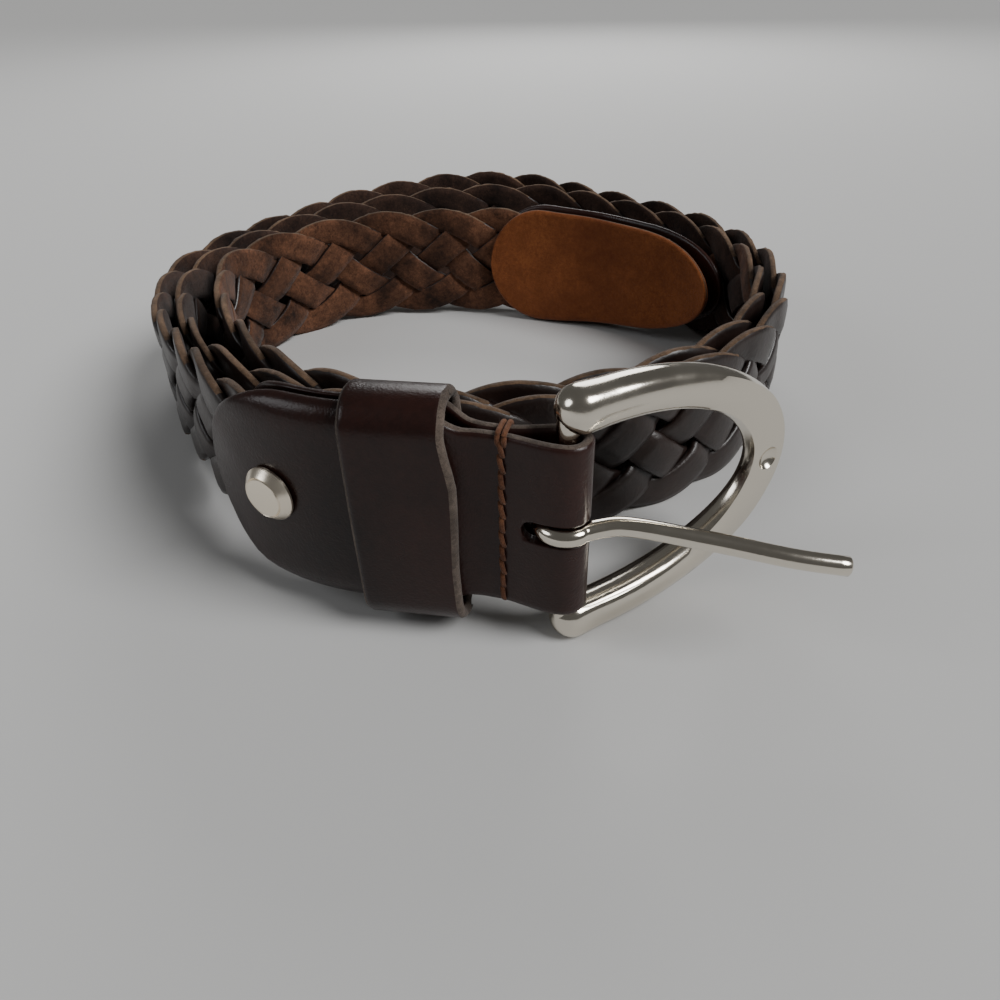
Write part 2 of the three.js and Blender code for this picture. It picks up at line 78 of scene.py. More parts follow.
# The braid: five thongs, each over one and under one
THONGS = 5
THONG_WIDTH = 7.8
THONG_THICKNESS = 1.7
SWING = 11.7            # how far a thong's middle swings to each side of the belt's middle
STRAIGHTNESS = 0.2      # how much of a thong's way is straight between its turns
TURN_ROUNDING = 0.9     # softness of the turns of that straight way, in crossings
CROSSING_RISE = 0.92    # how far a thong stands off the middle layer where it crosses
EDGE_CURL = 0.15        # share of its width that a thong loses where it turns at the edge
WANDER = 0.22           # how far a thong strays up or down between its crossings
BREADTH_SPREAD = (0.95, 1.04)   # least and greatest width of a thong, as shares of its own
PUFF_SPREAD = (0.85, 1.15)      # least and greatest height of its grain side
RAW_EDGE_LEVEL = 0.7    # past this share of the swing a thong shows its raw cut edge
FINENESS = 8            # sections for each crossing
EDGE_RAGGEDNESS = 0.07  # unevenness of the cut edges
END_NARROWING = 0.3     # share of the swing that the thongs lose under the tongues
UNSHADED_FLESH_LENGTH = 330       # the stretch by the free end where the flesh side keeps its lighter colour; before it a darker copy is painted shade between the turns
UNSHADED_FLESH_SPREAD = 40        # how much sooner or later that stretch starts on a single thong
FIRST_SEED = 11         # of the first thong's random draws

# The camera, set against the photo
CAMERA_AHEAD = (6, -195, 95.5)    # from the coil's centre, on the floor
CAMERA_DOWN = 35.2
CAMERA_ROLL = 1.2
CAMERA_LENS = 29.23


# The route

def smooth(t):
    t = min(max(t, 0.0), 1.0)
    return t * t * (3 - 2 * t)


def ramp(value, low, high):
    return smooth((value - low) / (high - low))


def reach_at(angle):
    last = len(ROUTE) - 1
    i = 0
    while i < last - 1 and ROUTE[i + 1][0] <= angle:
        i += 1

    def slope(k):
        low = ROUTE[max(k - 1, 0)]
        high = ROUTE[min(k + 1, last)]
        return (high[1] - low[1]) / (high[0] - low[0])

    a, b = ROUTE[i], ROUTE[i + 1]
    span = b[0] - a[0]
    t = (angle - a[0]) / span
    t2 = t * t
    t3 = t2 * t
    return ((2 * t3 - 3 * t2 + 1) * a[1] + (t3 - 2 * t2 + t) * span * slope(i)
            + (3 * t2 - 2 * t3) * b[1] + (t3 - t2) * span * slope(i + 1))


def route_point(angle):
    reach = COIL_RADIUS * reach_at(angle)
    turn = math.radians(angle)
    return np.array([-reach * math.sin(turn), -reach * math.cos(turn)])


ANGLES = np.arange(ROUTE[0][0], ROUTE[-1][0] + 1)
FLAT_LINE = np.array([route_point(angle) for angle in ANGLES])
RUNS = np.concatenate([[0], np.cumsum(np.linalg.norm(np.diff(FLAT_LINE, axis=0), axis=1))])
LENGTH = RUNS[-1]

JOINT_PLACE = {joint["name"]: joint for joint in frame["record"]["behaviour"]["joints"]}
BAR = np.array(JOINT_PLACE["frame_swivel"]["pos_m"][:2]) / MM
CENTRE = BAR - FLAT_LINE[0]


def line_points(runs):
    """Points of the middle line in plan; past its ends they stay at the end points."""
    runs = np.asarray(runs, dtype=float)
    x = np.interp(runs, RUNS, FLAT_LINE[:, 0])
    y = np.interp(runs, RUNS, FLAT_LINE[:, 1])
    return np.stack([x, y], axis=-1) + CENTRE


def outward(runs, step=2.0):
    """Directions away from the coil's centre, square to the middle line."""
    inside = np.clip(runs, step, LENGTH - step)
    ahead = line_points(inside + step) - line_points(inside - step)
    ahead /= np.linalg.norm(ahead, axis=-1, keepdims=True)
    return np.stack([-ahead[..., 1], ahead[..., 0]], axis=-1)


def middle_height(run):
    low = BRAID_WIDTH / 2
    at_buckle = ramp(run, TAB_LENGTH, TAB_LENGTH + LIFT_RUN)
    at_tip = ramp(run, LENGTH - 2 * TIP_LENGTH, LENGTH - TIP_LENGTH)
    return low + (BUCKLE_HEIGHT / 2 - low) * (1 - at_buckle) + (TIP_WIDTH / 2 - low) * at_tip


HEIGHTS = np.array([middle_height(run) for run in RUNS])


def band_to_room(run, rise, off):
    """Places given by run, rise over the belt's middle and distance outwards, all in mm."""
    run = np.asarray(run, dtype=float)
    plan = line_points(run) + outward(run) * np.asarray(off)[..., None]
    height = np.interp(run, RUNS, HEIGHTS) + rise
    return np.concatenate([plan, height[..., None]], axis=-1)


# Making meshes

def add_object(name, data):
    made = bpy.data.objects.new(name, data)
    bpy.context.scene.collection.objects.link(made)
    return made


def add_mesh(name, points, faces):
    """An object from points in millimetres."""
    mesh = bpy.data.meshes.new(name)
    mesh.from_pydata([tuple(p) for p in np.asarray(points) * MM], [], faces)
    mesh.update()
    return add_object(name, mesh)


def make_piece(name, points, faces, materials, body="root"):
    """A smooth visible piece of the belt, on one of its bodies."""
    piece = add_mesh(name, points, faces)
    piece.data.polygons.foreach_set("use_smooth", [True] * len(faces))
    for material in materials:
        piece.data.materials.append(material)
    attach(piece, body)
    return piece


def circle(centre, side, lift, radius, count):
    """Points round a centre, in the plane of two directions."""
    turns = [2 * math.pi * k / count for k in range(count)]
    return [centre + (side * math.cos(turn) + lift * math.sin(turn)) * radius for turn in turns]


def ring_faces(sections, around):
    """Quads through sections of one point count, each a closed ring, and a cap at both ends."""
    faces = []
    for i in range(sections - 1):
        for k in range(around):
            a = i * around + k
            b = i * around + (k + 1) % around
            faces.append((a, b, b + around, a + around))
    faces.append(tuple(reversed(range(around))))
    faces.append(tuple(range((sections - 1) * around, sections * around)))
    return faces


# Shader groups shared by the leathers

def new_group(name, inputs, outputs):
    group = bpy.data.node_groups.new(name, "ShaderNodeTree")
    for label, kind, value in inputs:
        socket = group.interface.new_socket(name=label, in_out="INPUT", socket_type=kind)
        socket.default_value = value
    for label, kind in outputs:
        group.interface.new_socket(name=label, in_out="OUTPUT", socket_type=kind)
    return group


class Graph:
    """Short words for placing and joining shader nodes in one tree."""

    def __init__(self, tree):
        self.tree = tree

    def place(self):
        """Where a point lies on its own piece."""
        return self.tree.nodes.new("ShaderNodeTexCoord").outputs["Object"]

    def join(self, source, target):
        self.tree.links.new(source, target)

    def feed(self, socket, value):
        """Joins a socket's value, or sets a plain one."""
        if isinstance(value, bpy.types.NodeSocket):
            self.join(value, socket)
        else:
            socket.default_value = value

    def math(self, operation, a, b=0.0, c=0.0):
        made = self.tree.nodes.new("ShaderNodeMath")
        made.operation = operation
        for socket, value in zip(made.inputs, (a, b, c)):
            self.feed(socket, value)
        return made.outputs[0]

    def mix(self, share, a, b):
        made = self.tree.nodes.new("ShaderNodeMix")
        made.data_type = "RGBA"
        for socket, value in zip((made.inputs[0], made.inputs[6], made.inputs[7]), (share, a, b)):
            self.feed(socket, value)
        return made.outputs[2]

    def spread(self, value, low, high, to_low=0.0, to_high=1.0):
        made = self.tree.nodes.new("ShaderNodeMapRange")
        self.join(value, made.inputs[0])
        for socket, number in zip(list(made.inputs)[1:5], (low, high, to_low, to_high)):
            socket.default_value = number
        return made.outputs[0]

    def noise(self, place, scale, detail=3.0, roughness=0.55, distortion=0.0):
        made = self.tree.nodes.new("ShaderNodeTexNoise")
        self.join(place, made.inputs["Vector"])
        self.feed(made.inputs["Scale"], scale)
        made.inputs["Detail"].default_value = detail
        made.inputs["Roughness"].default_value = roughness
        made.inputs["Distortion"].default_value = distortion
        return made.outputs["Fac"]


def leather_tone_group():
    """Slow changes of tone over the hide, with a finer random speckle."""
    group = new_group(
        "Leather tone",
        [("Deep", "NodeSocketColor", (0.02, 0.01, 0.01, 1)),
         ("Warm", "NodeSocketColor", (0.08, 0.03, 0.02, 1)),
         ("Patch Size", "NodeSocketFloat", 60.0),
         ("Balance", "NodeSocketFloat", 0.5)],
        [("Color", "NodeSocketColor")])
    g = Graph(group)
    given = g.tree.nodes.new("NodeGroupInput")
    made = g.tree.nodes.new("NodeGroupOutput")
    place = g.place()
    slow = g.noise(place, given.outputs["Patch Size"], 4.0, 0.6, 0.4)
    fine = g.noise(place, 900.0, 2.0)
    both = g.math("ADD", g.math("MULTIPLY", slow, 0.8), g.math("MULTIPLY", fine, 0.2))
    low = g.math("SUBTRACT", given.outputs["Balance"], 0.18)
    share = g.math("DIVIDE", g.math("SUBTRACT", both, low), 0.36)
    clear = g.math("MINIMUM", g.math("MAXIMUM", share, 0.0), 1.0)
    g.join(g.mix(clear, given.outputs["Deep"], given.outputs["Warm"]), made.inputs["Color"])
    return group


def hide_grain_group():
    """Height of a fine pebbled grain with creases running through it."""
    group = new_group(
        "Hide grain",
        [("Grain Size", "NodeSocketFloat", 1400.0), ("Crease", "NodeSocketFloat", 0.3)],
        [("Height", "NodeSocketFloat")])
    g = Graph(group)
    given = g.tree.nodes.new("NodeGroupInput")
    made = g.tree.nodes.new("NodeGroupOutput")
    place = g.place()
    cells = g.tree.nodes.new("ShaderNodeTexVoronoi")
    cells.feature = "SMOOTH_F1"
    g.join(place, cells.inputs["Vector"])
    g.join(given.outputs["Grain Size"], cells.inputs["Scale"])
    pores = g.noise(place, g.math("MULTIPLY", given.outputs["Grain Size"], 0.4), 4.0, 0.6)
    crease = g.noise(place, 180.0, 5.0, 0.65, 1.6)
    folded = g.math("ABSOLUTE", g.math("SUBTRACT", crease, 0.5))
    pebbles = g.math("MULTIPLY", cells.outputs["Distance"], 0.5)
    height = g.math("ADD", pebbles, g.math("MULTIPLY", pores, 0.5))
    clear = g.math("MINIMUM", g.math("MULTIPLY", folded, 9.0), 1.0)
    deep = g.math("MULTIPLY", clear, given.outputs["Crease"])
    g.join(g.math("ADD", height, deep), made.inputs["Height"])
    return group


def nap_group():
    """Short fibres of a suede or cut face: a speckle for colour, and a height."""
    group = new_group(
        "Suede nap",
        [("Fibre Size", "NodeSocketFloat", 1600.0), ("Brush", "NodeSocketFloat", 1.0)],
        [("Speckle", "NodeSocketFloat"), ("Height", "NodeSocketFloat")])
    g = Graph(group)
    given = g.tree.nodes.new("NodeGroupInput")
    made = g.tree.nodes.new("NodeGroupOutput")
    place = g.place()
    fibre = g.noise(place, given.outputs["Fibre Size"], 5.0, 0.75, 0.8)
    brushed = g.noise(place, 240.0, 3.0, 0.6, 1.2)
    streaks = g.math("MULTIPLY", brushed, given.outputs["Brush"])
    both = g.math("ADD", g.math("MULTIPLY", fibre, 0.65), g.math("MULTIPLY", streaks, 0.35))
    g.join(g.spread(both, 0.3, 0.7), made.inputs["Speckle"])
    g.join(fibre, made.inputs["Height"])
    return group


LEATHER_TONE = leather_tone_group()
HIDE_GRAIN = hide_grain_group()
SUEDE_NAP = nap_group()


def new_material(name):
    material = bpy.data.materials.new(name)
    material.use_nodes = True
    material.node_tree.nodes.clear()
    g = Graph(material.node_tree)
    shader = g.tree.nodes.new("ShaderNodeBsdfPrincipled")
    output = g.tree.nodes.new("ShaderNodeOutputMaterial")
    g.join(shader.outputs[0], output.inputs[0])
    return material, g, shader


def placed(g, group, **values):
    made = g.tree.nodes.new("ShaderNodeGroup")
    made.node_tree = group
    for key, value in values.items():
        made.inputs[key.replace("_", " ")].default_value = value
    return made


def bumped(g, shader, height, strength, distance):
    bump = g.tree.nodes.new("ShaderNodeBump")
    bump.inputs["Strength"].default_value = strength
    bump.inputs["Distance"].default_value = distance
    g.join(height, bump.inputs["Height"])
    g.join(bump.outputs[0], shader.inputs["Normal"])


GRAIN_BUMP = 0.3
WAX = 0.12              # weight of the thin glossy coat on dyed leather
NAP_BUMP = 0.8


def grain_leather(name, deep, warm, patch, balance, rough, gloss, crease, grain):
    """The smooth, dyed side of the hide."""
    material, g, shader = new_material(name)
    tone = placed(g, LEATHER_TONE, Deep=deep, Warm=warm, Patch_Size=patch, Balance=balance)
    g.join(tone.outputs["Color"], shader.inputs["Base Color"])
    grain_height = placed(g, HIDE_GRAIN, Grain_Size=grain, Crease=crease)
    bumped(g, shader, grain_height.outputs["Height"], GRAIN_BUMP, 0.0002)
    place = g.place()
    wear = g.noise(place, 70.0, 4.0)
    g.join(g.spread(wear, 0.3, 0.7, *rough), shader.inputs["Roughness"])
    shader.inputs["Specular IOR Level"].default_value = gloss
    shader.inputs["Coat Weight"].default_value = WAX
    shader.inputs["Coat Roughness"].default_value = 0.22
    return material


def napped_leather(name, dark, light, sheen=0.1, fibre=1600.0, patch=90.0):
    """The flesh side or a cut edge: matte and fibrous."""
    material, g, shader = new_material(name)
    nap = placed(g, SUEDE_NAP, Fibre_Size=fibre)
    tone = placed(g, LEATHER_TONE, Deep=dark, Warm=light, Patch_Size=patch, Balance=0.5)
    g.join(g.mix(nap.outputs["Speckle"], dark, tone.outputs["Color"]), shader.inputs["Base Color"])
    bumped(g, shader, nap.outputs["Height"], NAP_BUMP, 0.0003)
    shader.inputs["Roughness"].default_value = 0.9
    shader.inputs["Sheen Weight"].default_value = sheen
    shader.inputs["Sheen Roughness"].default_value = 0.5
    shader.inputs["Specular IOR Level"].default_value = 0.2
    return material


def polished_metal(name, color, rough):
    """Nickel plate with faint drawn scratches and small dents."""
    material, g, shader = new_material(name)
    place = g.place()
    wear = g.noise(place, 120.0, 5.0, 0.6)
    shader.inputs["Base Color"].default_value = color
    shader.inputs["Metallic"].default_value = 1.0
    g.join(g.spread(wear, 0.35, 0.75, rough, rough + 0.14), shader.inputs["Roughness"])
    bumped(g, shader, g.noise(place, 260.0, 4.0, 0.7, 0.6), 0.1, 0.0002)
    return material


GRAIN_SIDE = grain_leather(
    "Thong grain side", deep=(0.006, 0.0038, 0.0034, 1), warm=(0.024, 0.012, 0.009, 1),
    patch=55.0, balance=0.5, rough=(0.3, 0.5), gloss=0.5, crease=0.3, grain=1400.0)
SMOOTH_LEATHER = grain_leather(
    "Tab leather", deep=(0.008, 0.003, 0.0025, 1), warm=(0.034, 0.0115, 0.0085, 1),
    patch=28.0, balance=0.52, rough=(0.24, 0.42), gloss=0.3, crease=0.2, grain=2800.0)
FLESH_SIDE = napped_leather(
    "Thong flesh side", dark=(0.014, 0.006, 0.0035, 1), light=(0.3, 0.13, 0.068, 1))
# A darker copy of the flesh side: painted shade for the coil's turns behind, where little light reaches
SHADED_FLESH = napped_leather(
    "Thong flesh side, painted shade", dark=(0.009, 0.0045, 0.0035, 1), light=(0.11, 0.056, 0.037, 1))
THONG_EDGE = napped_leather(
    "Thong cut edge", dark=(0.045, 0.027, 0.016, 1), light=(0.31, 0.19, 0.115, 1))
CUT_EDGE = napped_leather(
    "Tab cut edge", dark=(0.045, 0.034, 0.028, 1), light=(0.26, 0.2, 0.16, 1))
PATCH_SUEDE = napped_leather(
    "Tip suede", dark=(0.15, 0.04, 0.011, 1), light=(0.45, 0.148, 0.045, 1), sheen=0.15, patch=40.0)
THREAD = napped_leather(
    "Waxed thread", dark=(0.07, 0.025, 0.012, 1), light=(0.34, 0.15, 0.075, 1), fibre=2600.0)
# A brighter, warmer copy of the nickel: painted light for the light that the rivet cap catches
BRIGHTENED_RIVET_METAL = polished_metal("Rivet metal, painted light", (0.93, 0.84, 0.7, 1), 0.26)
NICKEL = polished_metal("Polished nickel", (0.76, 0.705, 0.61, 1), 0.1)


# The braid

EDGE_TO_EDGE = THONGS   # crossings on a thong's way from one edge of the braid to the other
HIDDEN_STEP = 2         # the crossing after an edge where a thong's inner side is covered
WEAVE_SOFTNESS = 0.5    # how gently a thong passes from over to under: 0 at once, 1 as a wave
EDGE_SOFTNESS = 0.8     # the same where it turns at an edge


def thong_level(step):
    """A thong's rise as a share of its swing: low at step 0, high at step 5, low again at 10."""
    from_top = np.abs(step % (2 * EDGE_TO_EDGE) - EDGE_TO_EDGE)
    soft_top = np.hypot(from_top, TURN_ROUNDING)
    soft_low = np.hypot(EDGE_TO_EDGE - from_top, TURN_ROUNDING)
    straight = (soft_low - soft_top) / (math.hypot(EDGE_TO_EDGE, TURN_ROUNDING) - TURN_ROUNDING)
    wave = np.cos(math.pi * from_top / EDGE_TO_EDGE)
    return STRAIGHTNESS * straight + (1 - STRAIGHTNESS) * wave


def over_or_under(step):
    """1 where a thong lies outermost and -1 where it lies innermost, changing at each crossing."""
    part = step % EDGE_TO_EDGE
    crossing = np.cos(math.pi * (part - 1))
    woven = -np.sign(crossing) * np.abs(crossing) ** WEAVE_SOFTNESS
    past_edge = np.where(part < 1, part, part - EDGE_TO_EDGE)
    turned = -np.sign(past_edge) * np.abs(np.sin(math.pi / 2 * past_edge)) ** EDGE_SOFTNESS
    return np.where((part >= 1) & (part <= EDGE_TO_EDGE - 1), woven, turned)


# A thong's outline in section: place across and height, from -1 to 1, the grain side up
THONG_OUTLINE = [
    (-1, 0.1, "edge"), (-0.93, 0.7, "grain"), (-0.6, 0.95, "grain"), (0, 1, "grain"),
    (0.6, 0.95, "grain"), (0.93, 0.7, "edge"), (1, 0.1, "edge"), (0.97, -0.75, "flesh"),
    (0.5, -1, "flesh"), (-0.5, -1, "flesh"), (-0.97, -0.75, "edge"),
]
SIDES = {"grain": 0, "flesh": 1, "edge": 2, "shaded flesh": 3}


def make_thong(number, first_run, last_run, crossing, origin):
    """One thong of the braid from end to end. Its steps count the crossings from a lower edge."""
    chance = np.random.default_rng(FIRST_SEED + number)
    first = (first_run - origin) / crossing - 2 * number
    last = (last_run - origin) / crossing - 2 * number
    steps = np.linspace(first, last, int((last - first) * FINENESS))
    run = origin + (steps + 2 * number) * crossing
    level = thong_level(steps)
    narrowing = [END_NARROWING * ramp(at, LENGTH - TIP_LENGTH, LENGTH) for at in run]
    rise = SWING * level * (1 - np.array(narrowing))
    slope = np.gradient(rise, run)
    length = np.hypot(1, slope)
    middle_slope = np.abs(slope).max()
    lean = np.clip(slope / middle_slope, -1, 1)
    skew = 1 / math.tan(2 * math.atan(middle_slope))
    knots = np.arange(math.floor(first) - 1, math.ceil(last) + 2, 2)
    wander = np.interp(steps, knots, chance.uniform(-WANDER, WANDER, len(knots)))
    breadth = THONG_WIDTH * np.interp(steps, knots, chance.uniform(*BREADTH_SPREAD, len(knots)))
    breadth = breadth * (1 - EDGE_CURL * level ** 8)
    puff = np.interp(steps, knots, chance.uniform(*PUFF_SPREAD, len(knots)))
    unshaded_run = LENGTH - UNSHADED_FLESH_LENGTH + chance.uniform(-UNSHADED_FLESH_SPREAD, UNSHADED_FLESH_SPREAD)
    unshaded_from = HIDDEN_STEP + EDGE_TO_EDGE * round(
        ((unshaded_run - origin) / crossing - 2 * number - HIDDEN_STEP) / EDGE_TO_EDGE)
    columns = []
    for across, height, side in THONG_OUTLINE:
        off_line = across * breadth / 2
        if side == "edge":
            off_line = off_line + chance.normal(0, EDGE_RAGGEDNESS, len(steps))
        place = run - slope / length * off_line
        up = rise + wander + off_line / length
        shifted = steps + off_line * skew * lean / crossing / math.sqrt(1 + middle_slope ** 2)
        layer = CROSSING_RISE * over_or_under(shifted)
        crown = np.where(height > 0, puff, 1.0)
        columns.append(band_to_room(place, up, layer + height * crown * THONG_THICKNESS / 2))
    points = np.stack(columns, axis=1).reshape(-1, 3)
    around = len(THONG_OUTLINE)
    faces = ring_faces(len(steps), around)
    thong = make_piece(f"thong_{number + 1}", points, faces,
                       (GRAIN_SIDE, FLESH_SIDE, THONG_EDGE, SHADED_FLESH))
    numbers = []
    for i in range(len(steps) - 1):
        for across, height, side in THONG_OUTLINE:
            covered = side == "edge" and level[i] * np.sign(across) < RAW_EDGE_LEVEL
            # Flesh faces before that stretch take the darker copy, as painted shade
            shaded = side == "flesh" and steps[i] < unshaded_from
            numbers.append(SIDES["grain"] if covered else SIDES["shaded flesh"] if shaded else SIDES[side])
    thong.data.polygons.foreach_set("material_index", numbers + [SIDES["edge"]] * 2)
    return thong


def make_braid():
    last_run = LENGTH - TIP_WIDTH / 2
    count = round((last_run - BRAID_START) / SCALLOP_PITCH)
    crossing = (last_run - BRAID_START) / count / 2
    origin = BRAID_START - EDGE_TO_EDGE * crossing
    thongs = [make_thong(number, BRAID_START, last_run, crossing, origin) for number in range(THONGS)]
    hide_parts("braided_strap")


make_braid()


# The tab: one strip of leather folded round the bar, both ends sewn and riveted on the braid

LEATHER = 1.8
SEAT_GAP = 0.3
BRAID_THICKNESS = 3.4
BAR_DIAMETER = 3.4
BALL_DIAMETER = 7.2
FOLD_ROOM = 0.2
FOLD_WIDTH = BUCKLE_HEIGHT - 2 * (BALL_DIAMETER + FOLD_ROOM)
FOLD_LENGTH = 17.4
FOLD_FLARE = 3
FLAT_HALF = BRAID_WIDTH / 2 + 2 * SEAT_GAP
TAB_ROLL = 1.9
ROLL_START = FLAT_HALF - 1.5    # past this height a long edge starts to bend in
EDGE_ROUND = 0.5        # how near its cut edge leather gets thinner
EDGE_THINNING = 0.75    # share of its thickness that it loses there
DYED_FROM = 25          # past here, under the keeper, the tab's cut edge is dyed as dark as its face
TAB_ROWS = 23           # points across each of the tab's faces
HOOK_RISE = 0.1         # how far the prong and its slot lie above the bar's middle
SLOT_HALF = 1.9
SLOT_REACH = 6.2        # from the bar's axis, along both layers
CUTTER_REACH = 9        # of the block that cuts the slot, past both faces of the fold


def layer_offset(run):
    """How far the middle of a tab's layer lies from the belt's: round the bar, then pinched at
    the seam, then over the braid."""
    at_bar = BAR_DIAMETER / 2 + SEAT_GAP + LEATHER / 2
    pinched = SEAT_GAP / 2 + LEATHER / 2
    over_braid = BRAID_THICKNESS / 2 + SEAT_GAP + LEATHER / 2
    if run < STITCH_DISTANCE:
        return pinched + (at_bar - pinched) * (1 - ramp(run, 0, STITCH_DISTANCE))
    return pinched + (over_braid - pinched) * ramp(run, STITCH_DISTANCE + LEATHER, BRAID_START - SEAT_GAP)


def directions(run):
    """The ways out from the coil and along the belt at one place, in plan."""
    out = outward(np.array(float(run)))
    return out, np.array([out[1], -out[0]])


def round_share(distance, radius):
    """Share of its full width that a strip has near a round end."""
    short = 1 - min(max(distance, 0) / radius, 1)
    return math.sqrt(max(1 - short * short, 0))


def tab_half_width(run):
    body = ramp(run, FOLD_LENGTH - FOLD_FLARE, FOLD_LENGTH + FOLD_FLARE)
    width = FOLD_WIDTH + (TAB_WIDTH - FOLD_WIDTH) * body
    return width / 2 * round_share(TAB_LENGTH - run, TAB_WIDTH / 2)


def strip_section(at, out, middle, half, roll, thickness, rows):
    """A ring of points round a strip of leather on edge: across its outer face, round its cut
    edge, back across its inner face and round the other edge."""
    shares = np.sin(np.linspace(-math.pi / 2, math.pi / 2, rows))
    outer, inner = [], []
    for share in shares:
        up = share * half
        past = max(abs(up) - ROLL_START, 0) / (TAB_WIDTH / 2 - ROLL_START)
        bend = roll * past * past
        near_edge = max(1 - (half - abs(up)) / EDGE_ROUND, 0) if half > EDGE_ROUND else 1
        shrink = thickness / 2 * (1 - EDGE_THINNING * near_edge ** 2)
        for ring, side in ((outer, 1), (inner, -1)):
            off = side * shrink - bend
            ring.append((at[0] + out[0] * off, at[1] + out[1] * off, middle + up))
    return outer + inner[::-1]


def end_runs(length, radius, step):
    """Distances from a round end, closer together towards it. The first is not quite at the end,
    where the strip would have no width."""
    turns = np.linspace(0, math.pi / 2, 14)[1:]
    near = [0.02] + list(radius * (1 - np.cos(turns)))
    return near + list(np.arange(radius + step, length, step)) + [length]


def cut_out(piece, cutter):
    """Takes a shape out of a piece for good."""
    cut = piece.modifiers.new("cut", "BOOLEAN")
    cut.operation = "DIFFERENCE"
    cut.solver = "EXACT"
    cut.object = cutter
    bpy.context.view_layer.update()
    depsgraph = bpy.context.evaluated_depsgraph_get()
    mesh = bpy.data.meshes.new_from_object(piece.evaluated_get(depsgraph))
    piece.modifiers.clear()
    piece.data = mesh
    bpy.data.objects.remove(cutter)


def tab_layer(side, distances):
    """Sections of the tab's outer or inner layer, from its round end to the bar."""
    rings = []
    for distance in distances:
        run = TAB_LENGTH - distance
        out = outward(np.array(run)) * side
        at = line_points(run) + out * layer_offset(run)
        middle, half = middle_height(run), tab_half_width(run)
        roll = TAB_ROLL * ramp(run, FOLD_LENGTH, BRAID_START + FOLD_FLARE)
        rings.append(strip_section(at, out, middle, half, roll, LEATHER, TAB_ROWS))
    return rings


def make_tab():
    distances = end_runs(TAB_LENGTH, TAB_WIDTH / 2, 0.9)
    out, ahead = directions(0)
    bends = []
    for turn in np.linspace(0, math.pi, 17)[1:-1]:
        away = out * math.cos(turn) - ahead * math.sin(turn)
        at = line_points(0.0) + away * layer_offset(0)
        bends.append(strip_section(at, away, middle_height(0), tab_half_width(0), 0, LEATHER, TAB_ROWS))
    rings = tab_layer(1, distances) + bends + tab_layer(-1, distances)[::-1]
    around = 2 * TAB_ROWS
    faces = ring_faces(len(rings), around)
    points = np.array(rings).reshape(-1, 3)
    tab = make_piece("tab", points, faces, (SMOOTH_LEATHER, CUT_EDGE))
    edge_columns = (0, TAB_ROWS - 2, TAB_ROWS - 1, TAB_ROWS, around - 2, around - 1)
    dyed = sum(TAB_LENGTH - distance > DYED_FROM for distance in distances)
    raw_rings = range(dyed, len(rings) - 1 - dyed)
    numbers = [int(k % around in edge_columns and k // around in raw_rings) for k in range(len(faces))]
    tab.data.polygons.foreach_set("material_index", numbers)
    cut_out(tab, slot_cutter(out, ahead))
    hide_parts("leather_tab")


def slot_cutter(out, ahead):
    """A long rounded block where the prong's hook passes through the fold."""
    outline = []
    for turn in np.linspace(-90, 90, 13):
        angle = math.radians(turn)
        outline.append((SLOT_REACH - SLOT_HALF + SLOT_HALF * math.cos(angle), SLOT_HALF * math.sin(angle)))
    outline += [(-x, -z) for x, z in outline]
    middle = middle_height(0) + HOOK_RISE
    points = []
    for side in (-CUTTER_REACH, CUTTER_REACH):
        for x, z in outline:
            at = BAR + ahead * x + out * side
            points.append((*at, middle + z))
    count = len(outline)
    faces = [tuple(range(count)), tuple(reversed(range(count, 2 * count)))]
    faces += [(k, k + count, (k + 1) % count + count, (k + 1) % count) for k in range(count)]
    return add_mesh("slot cutter", points, faces)


make_tab()


# The keeper: a band of leather round the tab

KEEPER_LENGTH = 15.8
KEEPER_WALL = 1.8
KEEPER_DISTANCE = 16.2
KEEPER_ROOM = 0.5
KEEPER_CORNER = 5.6
KEEPER_SKEW = 0.022     # how much it leans towards the buckle for each mm down
KEEPER_BULGE = 0.35     # how far the middle of its front stands out
EDGE_BEVEL = 0.6        # how much thinner its wall gets on each side at a cut edge
BEVEL_LENGTH = 0.9
BACK_WAVE = 0.3         # share of the wave that its back has
CORNER_STEPS = 8
SIDE_STEPS = 12
# The wave of its edge by the buckle: height as a share of half the keeper, and how far back it lies
KEEPER_WAVE = [(-1, -0.7), (-0.77, -0.3), (-0.4, -0.25), (0, -0.6), (0.2, -0.75), (0.42, -0.8),
               (0.6, -0.2), (0.72, 0.3), (0.85, 0.5), (1, 0.4)]


def round_box(low, high, half, radius):
    """A rectangle with round corners, evenly filled with points along its tall sides."""
    corners = [(high - radius, half - radius, 0), (low + radius, half - radius, 90),
               (low + radius, -half + radius, 180), (high - radius, -half + radius, 270)]
    points = []
    for x, y, start in corners:
        for k in range(CORNER_STEPS + 1):
            turn = math.radians(start + 90 * k / CORNER_STEPS)
            points.append((x + radius * math.cos(turn), y + radius * math.sin(turn)))
        if start in (90, 270):
            side = x - radius if start == 90 else x + radius
            for k in range(1, SIDE_STEPS):
                points.append((side, y * (1 - 2 * k / SIDE_STEPS)))
    return points


